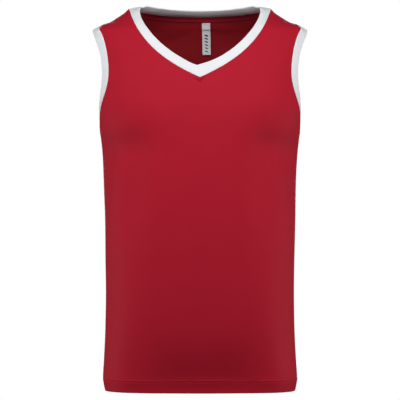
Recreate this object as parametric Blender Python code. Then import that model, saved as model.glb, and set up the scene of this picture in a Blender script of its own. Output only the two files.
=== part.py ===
"""Sleeveless basketball jersey, filled out as on a general figure and open at neck, armholes and hem.

Metres, +Z up.  The front faces -Y and the garment's left side is at +X.  The origin lies midway
between the shoulders, where a wearer holds the jersey up.  Every piece of cloth is a thin closed wall
on one shared form: level sections, each a squared ellipse with its own width and its own front and
back depth.
"""

import math

import bmesh
import bpy
import numpy as np
from mathutils import Vector

FRONT = -1
BACK = 1
LEFT = 1
RIGHT = -1

# The form.  Heights are above the shoulders; squareness 2 is a plain ellipse.
SECTIONS = (
    # height, half_width, front_depth, back_depth, squareness
    (-0.7100, 0.1808, 0.1215, 0.126, 2.50),
    (-0.6990, 0.1832, 0.1215, 0.127, 2.50),
    (-0.6830, 0.1848, 0.1220, 0.127, 2.50),
    (-0.6500, 0.1830, 0.1242, 0.124, 2.45),
    (-0.5850, 0.1799, 0.1292, 0.118, 2.40),
    (-0.5200, 0.1789, 0.1310, 0.112, 2.35),
    (-0.4240, 0.1808, 0.1325, 0.109, 2.30),
    (-0.3300, 0.1829, 0.1340, 0.114, 2.25),
    (-0.2600, 0.1857, 0.1345, 0.121, 2.20),
    (-0.2156, 0.1900, 0.1352, 0.125, 2.20),
    (-0.1990, 0.1908, 0.1350, 0.126, 2.20),
    (-0.1700, 0.1962, 0.1335, 0.127, 2.20),
    (-0.1360, 0.2015, 0.1290, 0.126, 2.15),
    (-0.1000, 0.2046, 0.1220, 0.123, 2.12),
    (-0.0800, 0.2062, 0.1160, 0.119, 2.10),
    (-0.0500, 0.2073, 0.1020, 0.112, 2.10),
    (-0.0239, 0.2050, 0.0860, 0.103, 2.10),
    (-0.0143, 0.1877, 0.0790, 0.099, 2.10),
    (-0.0086, 0.1712, 0.0750, 0.097, 2.10),
    (-0.0010, 0.1587, 0.0690, 0.093, 2.10),
    (0.0070, 0.1466, 0.0620, 0.088, 2.10),
    (0.0105, 0.1420, 0.0580, 0.081, 2.10),
    (0.0140, 0.1383, 0.0530, 0.073, 2.10),
    (0.0172, 0.1350, 0.0475, 0.063, 2.10),
    (0.0190, 0.1200, 0.0390, 0.055, 2.10),
    (0.0208, 0.1110, 0.0300, 0.048, 2.10),
)

HEM_HEIGHT = -0.7100
HEM_DEPTH = 0.024
HEM_LEVELS = (0.0, 0.0012, 0.012, HEM_DEPTH - 0.0012, HEM_DEPTH + 0.0012)

# Neck seams and free edges.  Front curves are seen from the front, from the shoulder to the point of the V.
FRONT_NECK_SEAM = ((0.1350, 0.0172), (0.1202, -0.0345), (0.0850, -0.0806), (0.0, -0.1180))
FRONT_NECK_FREE = ((0.1110, 0.0208), (0.1283, 0.0060), (0.0751, -0.0738), (0.0, -0.0951))
BACK_NECK_SEAM_LOW = 0.0070
BACK_NECK_SEAM_POWER = 2.2
BACK_NECK_FREE_LOW = 0.0180
BACK_NECK_FREE_POWER = 2.4
BACK_NECK_EAR = 0.0054
BACK_NECK_EAR_START = 0.90

# Armhole ovals as seen from the side.  The free edge is the folded edge of the band.
ARMHOLES = {
    # edge: top_height, bottom_height
    "seam": (-0.0143, -0.2156),
    "free": (-0.0239, -0.1990),
}
ARMHOLE_SCOOPS = {
    # (edge, side): depth of the scoop, lean of its deepest point, roundness at the top and the bottom
    ("seam", FRONT): (0.0704, 0.99, 0.38, 0.78),
    ("seam", BACK): (0.0680, 0.84, 0.55, 0.55),
    ("free", FRONT): (0.0560, 0.97, 0.60, 0.60),
    ("free", BACK): (0.0535, 0.86, 0.62, 0.62),
}

PANEL_WALL = 0.0012
HEM_WALL = 0.0024
HEM_EDGE_WALL = 0.0014
BAND_WALL = 0.0021
SEAM_GAP = 0.0003
BODY_ROWS = 9
ARMHOLE_STEPS = 24
FRONT_SPLIT_STEP = 9
BACK_SPLIT_STEP = 12
HALF_COLUMNS = 10
CURVE_SAMPLES = 600

# Half thickness of a band, as a share of its wall, across its width from the seam to the folded edge.
BAND_PROFILE = (
    # share_of_width, outer_share, inner_share
    (0.00, 0.34, 0.34),
    (0.18, 0.52, 0.44),
    (0.50, 0.62, 0.40),
    (0.85, 0.55, 0.38),
    (1.00, 0.20, 0.20),
)

TAPE_WIDTH = 0.0092
TAPE_REACH = 0.118
TAPE_WALL = 0.0010
TAPE_GAP = 0.0013
TAPE_STEPS = 14
LABEL_CENTRE = 0.0120
LABEL_TOP_DROP = 0.0104
MAIN_LABEL_SIZE = (0.0165, 0.0610)
SIZE_LABEL_SIZE = (0.0160, 0.0130)
LABEL_WALL = 0.0010
MAIN_LABEL_GAP = 0.0016
LABEL_COLUMNS = 3
MAIN_LABEL_ROWS = 10
SIZE_LABEL_ROWS = 4

CLOTH_RED = (0.36, 0.016, 0.036, 1.0)
TAPE_RED = (0.27, 0.014, 0.030, 1.0)
BAND_WHITE = (0.84, 0.86, 0.89, 1.0)
LABEL_WHITE = (0.78, 0.77, 0.80, 1.0)


class Profile:
    """A smooth curve through one column of the sections, with no overshoot between its rows."""

    def __init__(self, heights, values):
        self.heights = heights
        self.values = values
        steps = np.diff(heights)
        rises = np.diff(values) / steps
        self.slopes = np.empty(len(heights))
        self.slopes[0] = rises[0]
        self.slopes[-1] = rises[-1]
        for i in range(1, len(heights) - 1):
            before = rises[i - 1]
            after = rises[i]
            if before * after <= 0:
                self.slopes[i] = 0.0
            else:
                weight_before = 2 * steps[i] + steps[i - 1]
                weight_after = steps[i] + 2 * steps[i - 1]
                total = weight_before + weight_after
                self.slopes[i] = total / (weight_before / before + weight_after / after)

    def at(self, height):
        """The value and its slope at a height."""
        height = min(max(height, self.heights[0]), self.heights[-1])
        i = min(int(np.searchsorted(self.heights, height, side="right")) - 1, len(self.heights) - 2)
        step = self.heights[i + 1] - self.heights[i]
        t = (height - self.heights[i]) / step
        low, high = self.values[i], self.values[i + 1]
        start, end = self.slopes[i] * step, self.slopes[i + 1] * step
        bend = 2 * low - 2 * high + start + end
        swing = -3 * low + 3 * high - 2 * start - end
        value = ((bend * t + swing) * t + start) * t + low
        slope = ((3 * bend * t + 2 * swing) * t + start) / step
        return value, slope


def make_profiles():
    """One profile for each column of the sections."""
    table = np.array(SECTIONS)
    names = ("half_width", "front_depth", "back_depth", "squareness")
    return {name: Profile(table[:, 0], table[:, i + 1]) for i, name in enumerate(names)}


PROFILES = make_profiles()


def section(side, height):
    """Half width, depth and squareness of the form at a height."""
    depth = "front_depth" if side == FRONT else "back_depth"
    return (
        PROFILES["half_width"].at(height)[0],
        PROFILES[depth].at(height)[0],
        PROFILES["squareness"].at(height)[0],
    )


def by_angle(side, angle, height):
    """Point of the form at an angle round its section, from 0 at the centre line to a right angle at the side."""
    half_width, depth, squareness = section(side, height)
    power = 2 / squareness
    across = half_width * max(math.sin(angle), 0.0) ** power
    out = depth * max(math.cos(angle), 0.0) ** power
    return Vector((across, side * out, height))


def by_width(side, across, height):
    """Point of the form at a distance across from the centre line."""
    half_width, depth, squareness = section(side, height)
    share = min(abs(across) / half_width, 1.0)
    return Vector((across, side * depth * (1 - share**squareness) ** (1 / squareness), height))


def by_depth(side, out, height):
    """Point of the form on the +X side, at a distance in front of or behind the side line."""
    half_width, depth, squareness = section(side, height)
    share = min(abs(out) / depth, 1.0)
    return Vector((half_width * (1 - share**squareness) ** (1 / squareness), side * out, height))


def angle_of(side, point):
    """The angle round the section at which a point of the form lies."""
    half_width, depth, squareness = section(side, point.z)
    wide = (abs(point.x) / half_width) ** (squareness / 2)
    deep = (abs(point.y) / depth) ** (squareness / 2)
    return math.atan2(wide, deep)


def outward(side, point):
    """Unit normal of the form at a point."""
    depth_name = "front_depth" if side == FRONT else "back_depth"
    half_width, width_slope = PROFILES["half_width"].at(point.z)
    depth, depth_slope = PROFILES[depth_name].at(point.z)
    squareness = PROFILES["squareness"].at(point.z)[0]
    wide = (abs(point.x) / half_width) ** squareness
    deep = (abs(point.y) / depth) ** squareness
    normal_x = wide / abs(point.x) if abs(point.x) > 1e-9 else 0.0
    normal_y = deep / abs(point.y) if abs(point.y) > 1e-9 else 0.0
    normal_z = -(wide * width_slope / half_width + deep * depth_slope / depth)
    normal = Vector((math.copysign(normal_x, point.x), side * normal_y, normal_z))
    return normal.normalized()


def evenly(points, steps):
    """Points at equal distances along a dense row of points, both ends kept."""
    lengths = [0.0]
    for a, b in zip(points, points[1:]):
        lengths.append(lengths[-1] + (b - a).length)
    result = []
    for i in range(steps + 1):
        wanted = lengths[-1] * i / steps
        j = min(int(np.searchsorted(lengths, wanted, side="right")), len(lengths) - 1)
        t = (wanted - lengths[j - 1]) / (lengths[j] - lengths[j - 1])
        result.append(points[j - 1].lerp(points[j], min(max(t, 0.0), 1.0)))
    return result


def bezier(corners, t):
    """Point of a four-point curve in the front view."""
    s = 1 - t
    weights = (s**3, 3 * s * s * t, 3 * s * t * t, t**3)
    return [sum(w * corner[axis] for w, corner in zip(weights, corners)) for axis in (0, 1)]


def front_neck_edge(corners, steps):
    """A front neck edge on the form, from the point of the V up to the shoulder."""
    dense = []
    for i in range(CURVE_SAMPLES + 1):
        t = (i / CURVE_SAMPLES) ** 2
        across, height = bezier(corners, t)
        dense.append(by_width(FRONT, across, height))
    dense[0] = Vector((corners[0][0], 0.0, corners[0][1]))
    dense.reverse()
    return evenly(dense, steps)


def back_neck_edge(shoulder, low, power, ear, steps):
    """A back neck edge on the form, from the centre back out to the shoulder.

    The edge stands up by the ear just behind the shoulder.
    """
    dense = []
    for i in range(CURVE_SAMPLES + 1):
        share = math.sin(0.5 * math.pi * i / CURVE_SAMPLES)
        drop = max((share - BACK_NECK_EAR_START) / (1 - BACK_NECK_EAR_START), 0.0)
        height = low + (shoulder[1] + ear - low) * share**power
        height -= ear * drop * drop * (3 - 2 * drop)
        dense.append(by_width(BACK, shoulder[0] * share, height))
    dense[-1] = Vector((shoulder[0], 0.0, shoulder[1]))
    return evenly(dense, steps)


def armhole_edge(side, edge):
    """Half an armhole edge on the form, from the underarm up to the shoulder."""
    top, bottom = ARMHOLES[edge]
    scoop, lean, top_round, bottom_round = ARMHOLE_SCOOPS[edge, side]
    dense = []
    for i in range(CURVE_SAMPLES + 1):
        share = (1 + math.cos(math.pi * i / CURVE_SAMPLES)) / 2
        height = top + (bottom - top) * share
        roundness = top_round + (bottom_round - top_round) * share
        out = scoop * max(math.sin(math.pi * share**lean), 0.0) ** roundness
        dense.append(by_depth(side, out, height))
    return evenly(dense, ARMHOLE_STEPS)


def split_step(side):
    """The step up the armhole that is level with the lowest point of the neck seam."""
    return FRONT_SPLIT_STEP if side == FRONT else BACK_SPLIT_STEP


def neck_edge(side, edge):
    """A neck edge on one side of the jersey, from its centre line up to the shoulder."""
    steps = ARMHOLE_STEPS - split_step(side)
    if side == FRONT:
        return front_neck_edge(FRONT_NECK_SEAM if edge == "seam" else FRONT_NECK_FREE, steps)
    if edge == "seam":
        return back_neck_edge(FRONT_NECK_SEAM[0], BACK_NECK_SEAM_LOW, BACK_NECK_SEAM_POWER, 0.0, steps)
    shoulder = FRONT_NECK_FREE[0]
    return back_neck_edge(shoulder, BACK_NECK_FREE_LOW, BACK_NECK_FREE_POWER, BACK_NECK_EAR, steps)


def panel_rows(side):
    """Rows of one half of a panel, from hem to shoulder, as pairs of (angle, height) ends."""
    right_angle = math.pi / 2
    underarm = ARMHOLES["seam"][1]
    rows = [((0.0, HEM_HEIGHT + rise), (right_angle, HEM_HEIGHT + rise)) for rise in HEM_LEVELS]
    body_bottom = HEM_HEIGHT + HEM_DEPTH
    for i in range(1, BODY_ROWS):
        height = body_bottom + (underarm - body_bottom) * i / BODY_ROWS
        rows.append(((0.0, height), (right_angle, height)))
    neck = neck_edge(side, "seam")
    split = split_step(side)
    for i, outer in enumerate(armhole_edge(side, "seam")):
        outer_end = (angle_of(side, outer), outer.z)
        if i < split:
            rise = math.sin(0.5 * math.pi * i / split)
            inner_end = (0.0, underarm + (neck[0].z - underarm) * rise)
        else:
            inner = neck[i - split]
            inner_end = (angle_of(side, inner), inner.z)
        rows.append((inner_end, outer_end))
    return rows, len(rows) - 1 - ARMHOLE_STEPS + split


def panel_wall_at(row):
    """Outer inset and inner inset of the cloth at a row, from the form."""
    if row == 0:
        return (HEM_WALL - HEM_EDGE_WALL) / 2, (HEM_WALL + HEM_EDGE_WALL) / 2
    if row < len(HEM_LEVELS) - 1:
        return 0.0, HEM_WALL
    return 0.0, PANEL_WALL


def make_panel(side):
    """Front or back panel: two mirrored halves joined up to the lowest point of the neck."""
    rows, split_row = panel_rows(side)
    mesh = bmesh.new()
    vertices = {}

    def vertex(hand, row, column, layer):
        if column == 0 and row <= split_row:
            hand = 0
        key = (hand, row, column, layer)
        if key not in vertices:
            (angle_in, height_in), (angle_out, height_out) = rows[row]
            share = column / HALF_COLUMNS
            angle = angle_in + (angle_out - angle_in) * share
            point = by_angle(side, angle, height_in + (height_out - height_in) * share)
            if column == 0 and row <= split_row:
                point.x = 0.0
            point -= outward(side, point) * panel_wall_at(row)[layer]
            point.y += side * SEAM_GAP / 2
            if hand == RIGHT:
                point.x = -point.x
            vertices[key] = mesh.verts.new(point)
        return vertices[key]

    top_row = len(rows) - 1
    for hand in (LEFT, RIGHT):
        for row in range(top_row):
            for column in range(HALF_COLUMNS):
                corners = ((row, column), (row, column + 1), (row + 1, column + 1), (row + 1, column))
                for layer in (0, 1):
                    mesh.faces.new([vertex(hand, r, c, layer) for r, c in corners])
        rim = [((0, c), (0, c + 1)) for c in range(HALF_COLUMNS)]
        rim += [((top_row, c), (top_row, c + 1)) for c in range(HALF_COLUMNS)]
        rim += [((r, HALF_COLUMNS), (r + 1, HALF_COLUMNS)) for r in range(top_row)]
        rim += [((r, 0), (r + 1, 0)) for r in range(split_row, top_row)]
        for a, b in rim:
            ends = (vertex(hand, *a, 0), vertex(hand, *b, 0), vertex(hand, *b, 1), vertex(hand, *a, 1))
            mesh.faces.new(ends)
    return mesh


def band_ring(side, seam, free, along):
    """Closed cross-section of a folded band, from its seam to its folded edge and back inside."""
    panel_normal = outward(side, seam)
    gap_way = panel_normal.cross(along).normalized()
    if gap_way.dot(free - seam) < 0:
        gap_way = -gap_way
    start = seam + gap_way * SEAM_GAP - panel_normal * PANEL_WALL / 2
    span = free - panel_normal * PANEL_WALL / 2 - start
    band_normal = (panel_normal - span * (panel_normal.dot(span) / span.length_squared)).normalized()
    outer = []
    inner = []
    for share, outer_share, inner_share in BAND_PROFILE:
        normal = panel_normal.lerp(band_normal, min(share / BAND_PROFILE[1][0], 1.0)).normalized()
        outer.append(start + span * share + normal * BAND_WALL * outer_share)
        inner.append(start + span * share - normal * BAND_WALL * inner_share)
    return outer + inner[::-1]


def band_rings(side, seams, frees, first_way):
    """Cross-sections along one half of a band, which starts along first_way and ends over the shoulder."""
    rings = []
    for i, (seam, free) in enumerate(zip(seams, frees)):
        if i == 0:
            along = Vector(first_way)
        elif i == len(seams) - 1:
            along = Vector((0.0, 1.0, 0.0))
        else:
            along = seams[i + 1] - seams[i - 1]
        rings.append(band_ring(side, seam, free, along))
    return rings


def mirrored(ring):
    """The same cross-section on the other side of the centre line."""
    return [Vector((-point.x, point.y, point.z)) for point in ring]


def ring_band(rings):
    """Closed band through its cross-sections, the last joined to the first."""
    mesh = bmesh.new()
    loops = [[mesh.verts.new(point) for point in ring] for ring in rings]
    size = len(loops[0])
    for loop, following in zip(loops, loops[1:] + loops[:1]):
        for i in range(size):
            j = (i + 1) % size
            mesh.faces.new((loop[i], loop[j], following[j], following[i]))
    return mesh


def make_neck_band():
    """White neck band: up one side of the V, round the back and down the other side."""
    across = (1.0, 0.0, 0.0)
    front = band_rings(FRONT, neck_edge(FRONT, "seam"), neck_edge(FRONT, "free"), across)
    back = band_rings(BACK, neck_edge(BACK, "seam"), neck_edge(BACK, "free"), across)
    left = front + back[-2:0:-1]
    right = [mirrored(ring) for ring in left[1:]]
    return ring_band(left + [back[0]] + right[::-1])


def make_armhole_band(hand):
    """White armhole band: up the front from the underarm, over the shoulder and down the back."""
    forward = (0.0, 1.0, 0.0)
    front = band_rings(FRONT, armhole_edge(FRONT, "seam"), armhole_edge(FRONT, "free"), forward)
    back = band_rings(BACK, armhole_edge(BACK, "seam"), armhole_edge(BACK, "free"), forward)
    rings = front + back[-2:0:-1]
    if hand == RIGHT:
        rings = [mirrored(ring) for ring in rings]
    return ring_band(rings)


def lining_wall(rows, gap, wall):
    """Closed wall just inside the back panel, through rows of points of the form."""
    mesh = bmesh.new()
    layers = []
    for inset in (gap, gap + wall):
        inside = PANEL_WALL + inset
        layers.append([[mesh.verts.new(p - outward(BACK, p) * inside) for p in row] for row in rows])
    row_count = len(rows)
    column_count = len(rows[0])
    for layer in layers:
        for r in range(row_count - 1):
            for c in range(column_count - 1):
                mesh.faces.new((layer[r][c], layer[r][c + 1], layer[r + 1][c + 1], layer[r + 1][c]))
    rim = [(0, c) for c in range(column_count)]
    rim += [(r, column_count - 1) for r in range(1, row_count)]
    rim += [(row_count - 1, c) for c in range(column_count - 2, -1, -1)]
    rim += [(r, 0) for r in range(row_count - 2, 0, -1)]
    for a, b in zip(rim, rim[1:] + rim[:1]):
        outer, inner = layers
        mesh.faces.new((outer[a[0]][a[1]], outer[b[0]][b[1]], inner[b[0]][b[1]], inner[a[0]][a[1]]))
    return mesh


def back_neck_height(across):
    """Height of the back neck seam at a distance from the centre line."""
    shoulder_across, shoulder_height = FRONT_NECK_SEAM[0]
    share = abs(across) / shoulder_across
    return BACK_NECK_SEAM_LOW + (shoulder_height - BACK_NECK_SEAM_LOW) * share**BACK_NECK_SEAM_POWER


def make_neck_tape():
    """Red tape that follows the back neck seam on the inside."""
    rows = []
    for drop in (SEAM_GAP, TAPE_WIDTH / 2, TAPE_WIDTH):
        row = []
        for i in range(TAPE_STEPS + 1):
            across = TAPE_REACH * (2 * i / TAPE_STEPS - 1)
            row.append(by_width(BACK, across, back_neck_height(across) - drop))
        rows.append(row)
    return lining_wall(rows, TAPE_GAP, TAPE_WALL)


def make_label(size, row_count, gap):
    """Woven label that hangs from the tape against the inside of the back."""
    width, height = size
    top = BACK_NECK_SEAM_LOW - LABEL_TOP_DROP
    rows = []
    for r in range(row_count + 1):
        level = top - height * r / row_count
        starts = [LABEL_CENTRE + width * (c / LABEL_COLUMNS - 0.5) for c in range(LABEL_COLUMNS + 1)]
        rows.append([by_width(BACK, across, level) for across in starts])
    return lining_wall(rows, gap, LABEL_WALL)


def cloth_material(name, colour, roughness):
    """Plain cloth."""
    material = bpy.data.materials.new(name)
    material.use_nodes = True
    shader = material.node_tree.nodes["Principled BSDF"]
    shader.inputs["Base Color"].default_value = colour
    shader.inputs["Roughness"].default_value = roughness
    shader.inputs["Metallic"].default_value = 0.0
    material.diffuse_color = colour
    return material


def add_piece(name, mesh, colour, roughness):
    """Puts a closed mesh in the scene as one named piece."""
    bmesh.ops.recalc_face_normals(mesh, faces=mesh.faces)
    bmesh.ops.triangulate(mesh, faces=mesh.faces)
    data = bpy.data.meshes.new(name)
    mesh.to_mesh(data)
    mesh.free()
    data.shade_smooth()
    data.set_sharp_from_angle(angle=math.radians(50))
    data.materials.append(cloth_material(name + "_cloth", colour, roughness))
    piece = bpy.data.objects.new(name, data)
    bpy.context.scene.collection.objects.link(piece)
    return piece


def main():
    for old in list(bpy.data.objects):
        bpy.data.objects.remove(old, do_unlink=True)
    add_piece("front_panel", make_panel(FRONT), CLOTH_RED, 0.62)
    add_piece("back_panel", make_panel(BACK), CLOTH_RED, 0.62)
    add_piece("neck_band", make_neck_band(), BAND_WHITE, 0.72)
    add_piece("armhole_band_left", make_armhole_band(LEFT), BAND_WHITE, 0.72)
    add_piece("armhole_band_right", make_armhole_band(RIGHT), BAND_WHITE, 0.72)
    add_piece("neck_tape", make_neck_tape(), TAPE_RED, 0.7)
    main_label = make_label(MAIN_LABEL_SIZE, MAIN_LABEL_ROWS, MAIN_LABEL_GAP)
    add_piece("main_label", main_label, LABEL_WHITE, 0.5)
    size_gap = MAIN_LABEL_GAP + LABEL_WALL + SEAM_GAP
    size_label = make_label(SIZE_LABEL_SIZE, SIZE_LABEL_ROWS, size_gap)
    add_piece("size_label", size_label, LABEL_WHITE, 0.5)


main()
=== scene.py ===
"""Looks of the sleeveless basketball jersey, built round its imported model.

Each piece of cloth is a thin closed shell on the same form as its solid: level sections, each a
squared ellipse.  Creases, seams, the hem fold, stitches and labels are modelled; the knit, the weave
and the nap are in the materials.
"""

import math

import bmesh
import bpy
import numpy as np
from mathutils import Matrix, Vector


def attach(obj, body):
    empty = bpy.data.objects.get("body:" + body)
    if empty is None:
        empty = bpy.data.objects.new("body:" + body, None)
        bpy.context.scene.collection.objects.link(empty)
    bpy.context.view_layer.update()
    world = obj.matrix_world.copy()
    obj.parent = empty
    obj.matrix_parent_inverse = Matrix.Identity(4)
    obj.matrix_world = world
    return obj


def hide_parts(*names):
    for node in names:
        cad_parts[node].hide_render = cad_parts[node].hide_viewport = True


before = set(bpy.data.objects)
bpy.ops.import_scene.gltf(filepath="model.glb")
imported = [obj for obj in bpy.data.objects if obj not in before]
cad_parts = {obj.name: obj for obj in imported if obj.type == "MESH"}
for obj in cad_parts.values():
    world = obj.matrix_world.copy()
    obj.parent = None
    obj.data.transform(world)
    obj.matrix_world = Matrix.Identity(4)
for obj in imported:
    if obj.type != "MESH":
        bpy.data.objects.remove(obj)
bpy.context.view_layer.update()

FRONT = -1
BACK = 1
LEFT = 1
RIGHT = -1
RIGHT_ANGLE = math.pi / 2

# The form, as in the model.  Heights are above the shoulders; squareness 2 is a plain ellipse.
SECTIONS = (
    # height, half_width, front_depth, back_depth, squareness
    (-0.7100, 0.1808, 0.1215, 0.126, 2.50),
    (-0.6990, 0.1832, 0.1215, 0.127, 2.50),
    (-0.6830, 0.1848, 0.1220, 0.127, 2.50),
    (-0.6500, 0.1830, 0.1242, 0.124, 2.45),
    (-0.5850, 0.1799, 0.1292, 0.118, 2.40),
    (-0.5200, 0.1789, 0.1310, 0.112, 2.35),
    (-0.4240, 0.1808, 0.1325, 0.109, 2.30),
    (-0.3300, 0.1829, 0.1340, 0.114, 2.25),
    (-0.2600, 0.1857, 0.1345, 0.121, 2.20),
    (-0.2156, 0.1900, 0.1352, 0.125, 2.20),
    (-0.1990, 0.1908, 0.1350, 0.126, 2.20),
    (-0.1700, 0.1962, 0.1335, 0.127, 2.20),
    (-0.1360, 0.2015, 0.1290, 0.126, 2.15),
    (-0.1000, 0.2046, 0.1220, 0.123, 2.12),
    (-0.0800, 0.2062, 0.1160, 0.119, 2.10),
    (-0.0500, 0.2073, 0.1020, 0.112, 2.10),
    (-0.0239, 0.2050, 0.0860, 0.103, 2.10),
    (-0.0143, 0.1877, 0.0790, 0.099, 2.10),
    (-0.0086, 0.1712, 0.0750, 0.097, 2.10),
    (-0.0010, 0.1587, 0.0690, 0.093, 2.10),
    (0.0070, 0.1466, 0.0620, 0.088, 2.10),
    (0.0105, 0.1420, 0.0580, 0.081, 2.10),
    (0.0140, 0.1383, 0.0530, 0.073, 2.10),
    (0.0172, 0.1350, 0.0475, 0.063, 2.10),
    (0.0190, 0.1200, 0.0390, 0.055, 2.10),
    (0.0208, 0.1110, 0.0300, 0.048, 2.10),
)
HEM_HEIGHT = -0.7100

# Neck seams and folded edges.  Front curves are seen from the front, from the shoulder to the V.
FRONT_NECK_SEAM = ((0.1350, 0.0172), (0.1202, -0.0345), (0.0850, -0.0806), (0.0, -0.1180))
FRONT_NECK_FREE = ((0.1110, 0.0208), (0.1283, 0.0060), (0.0751, -0.0738), (0.0, -0.0951))
BACK_NECK_SEAM_LOW = 0.0070
BACK_NECK_SEAM_POWER = 2.2
BACK_NECK_FREE_LOW = 0.0180
BACK_NECK_FREE_POWER = 2.4
BACK_NECK_EAR = 0.0054
BACK_NECK_EAR_START = 0.90

# Armhole ovals as seen from the side.
ARMHOLES = {
    # edge: top_height, bottom_height
    "seam": (-0.0143, -0.2156),
    "free": (-0.0239, -0.1990),
}
ARMHOLE_SCOOPS = {
    # (edge, side): depth of the scoop, lean of its deepest point, roundness at the top and the bottom
    ("seam", FRONT): (0.0704, 0.99, 0.38, 0.78),
    ("seam", BACK): (0.0680, 0.84, 0.55, 0.55),
    ("free", FRONT): (0.0560, 0.97, 0.60, 0.60),
    ("free", BACK): (0.0535, 0.86, 0.62, 0.62),
}

PANEL_WALL = 0.0011
HEM_WALL = 0.0022
HEM_TURN_UP = 0.0275
SEAM_GAP = 0.0001
HEM_EDGE_SOFTNESS = 0.00025

# Mesh density.
HEM_ROUND_ROWS = 4
HEM_ROWS = 40
HEM_ROWS_HEIGHT = 0.030
BODY_ROWS = 104
ARMHOLE_STEPS = 96
SPLIT_STEPS = {FRONT: 36, BACK: 48}
HALF_COLUMNS = 72
CURVE_SAMPLES = 1500


# ---- the form


class Profile:
    """A smooth curve through one column of the sections, with no overshoot between its rows."""

    def __init__(self, heights, values):
        self.heights = heights
        self.values = values
        steps = np.diff(heights)
        rises = np.diff(values) / steps
        self.slopes = np.zeros(len(heights))
        self.slopes[0] = rises[0]
        self.slopes[-1] = rises[-1]
        for i in range(1, len(heights) - 1):
            before = rises[i - 1]
            after = rises[i]
            if before * after > 0:
                weight_before = 2 * steps[i] + steps[i - 1]
                weight_after = steps[i] + 2 * steps[i - 1]
                total = weight_before + weight_after
                self.slopes[i] = total / (weight_before / before + weight_after / after)

    def at(self, height):
        """Values and slopes at heights."""
        height = np.clip(height, self.heights[0], self.heights[-1])
        i = np.searchsorted(self.heights, height, side="right") - 1
        i = np.clip(i, 0, len(self.heights) - 2)
        step = self.heights[i + 1] - self.heights[i]
        t = (height - self.heights[i]) / step
        low, high = self.values[i], self.values[i + 1]
        start, end = self.slopes[i] * step, self.slopes[i + 1] * step
        bend = 2 * low - 2 * high + start + end
        swing = -3 * low + 3 * high - 2 * start - end
        value = ((bend * t + swing) * t + start) * t + low
        slope = ((3 * bend * t + 2 * swing) * t + start) / step
        return value, slope


def make_profiles():
    """One profile for each column of the sections."""
    table = np.array(SECTIONS)
    names = ("half_width", "front_depth", "back_depth", "squareness")
    return {name: Profile(table[:, 0], table[:, i + 1]) for i, name in enumerate(names)}


PROFILES = make_profiles()


def depth_profile(side):
    return PROFILES["front_depth" if side == FRONT else "back_depth"]


def section(side, height):
    """Half width, depth and squareness of the form at heights."""
    return (
        PROFILES["half_width"].at(height)[0],
        depth_profile(side).at(height)[0],
        PROFILES["squareness"].at(height)[0],
    )


def by_angle(side, angle, height):
    """Points of the form at angles round its sections, from 0 at the centre line to a right angle."""
    half_width, depth, squareness = section(side, height)
    power = 2 / squareness
    across = half_width * np.clip(np.sin(angle), 0, 1) ** power
    out = depth * np.clip(np.cos(angle), 0, 1) ** power
    return np.stack([across, side * out, height + 0 * across], -1)


def side_line(side, height):
    """Points of the form on the +X side line, where front and back meet."""
    return by_angle(side, RIGHT_ANGLE + 0 * height, height)


def by_width(side, across, height):
    """Points of the form at distances across from the centre line."""
    half_width, depth, squareness = section(side, height)
    share = np.minimum(np.abs(across) / half_width, 1.0)
    out = depth * (1 - share**squareness) ** (1 / squareness)
    return np.stack([across, side * out, height + 0 * out], -1)


def by_depth(side, out, height):
    """Points of the form on the +X side, at distances in front of or behind the side line."""
    half_width, depth, squareness = section(side, height)
    share = np.minimum(np.abs(out) / depth, 1.0)
    across = half_width * (1 - share**squareness) ** (1 / squareness)
    return np.stack([across, side * out, height + 0 * across], -1)


def angle_of(side, points):
    """The angles round their sections at which points of the form lie."""
    half_width, depth, squareness = section(side, points[..., 2])
    wide = (np.abs(points[..., 0]) / half_width) ** (squareness / 2)
    deep = (np.abs(points[..., 1]) / depth) ** (squareness / 2)
    return np.arctan2(wide, deep)


def hill(distance, width):
    """A soft hill: 1 in its middle, falling away over its width."""
    return np.exp(-((distance / width) ** 2))


def unit(vectors):
    return vectors / np.maximum(np.linalg.norm(vectors, axis=-1, keepdims=True), 1e-12)


def outward(side, points):
    """Unit normals of the form at points."""
    half_width, width_slope = PROFILES["half_width"].at(points[..., 2])
    depth, depth_slope = depth_profile(side).at(points[..., 2])
    squareness = PROFILES["squareness"].at(points[..., 2])[0]
    across = np.abs(points[..., 0])
    out = np.abs(points[..., 1])
    wide = (across / half_width) ** squareness
    deep = (out / depth) ** squareness
    normal_x = np.where(across > 1e-9, wide / np.maximum(across, 1e-9), 0.0)
    normal_y = np.where(out > 1e-9, deep / np.maximum(out, 1e-9), 0.0)
    normal_z = -(wide * width_slope / half_width + deep * depth_slope / depth)
    normal_x = np.copysign(normal_x, points[..., 0])
    return unit(np.stack([normal_x, side * normal_y, normal_z], -1))


def lengths_along(points):
    """Distance along a row of points, from its first."""
    steps = np.linalg.norm(np.diff(points, axis=0), axis=1)
    return np.concatenate([[0.0], np.cumsum(steps)])


def at_lengths(line, values, wanted):
    """Values given at the points of a dense line, read at distances along it."""
    lengths = lengths_along(line)
    return np.stack([np.interp(wanted, lengths, values[:, axis]) for axis in range(3)], -1)


def grid_lengths(grid, axis):
    """Distances along the rows or columns of a grid of points, each from its first."""
    steps = np.linalg.norm(np.diff(grid, axis=axis), axis=2)
    start = np.zeros_like(grid[..., 0].take([0], axis))
    return np.concatenate([start, np.cumsum(steps, axis)], axis)


def evenly(points, steps):
    """Points at equal distances along a dense row of points, both ends kept."""
    return at_lengths(points, points, np.linspace(0, lengths_along(points)[-1], steps + 1))


def front_neck_curve(corners):
    """A front neck edge on the form, from the point of the V up to the shoulder."""
    t = (np.linspace(1, 0, CURVE_SAMPLES) ** 2)[:, None]
    s = 1 - t
    a, b, c, d = (np.array(corner) for corner in corners)
    flat = s**3 * a + 3 * s * s * t * b + 3 * s * t * t * c + t**3 * d
    curve = by_width(FRONT, flat[:, 0], flat[:, 1])
    curve[-1] = (corners[0][0], 0.0, corners[0][1])
    return curve


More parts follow.
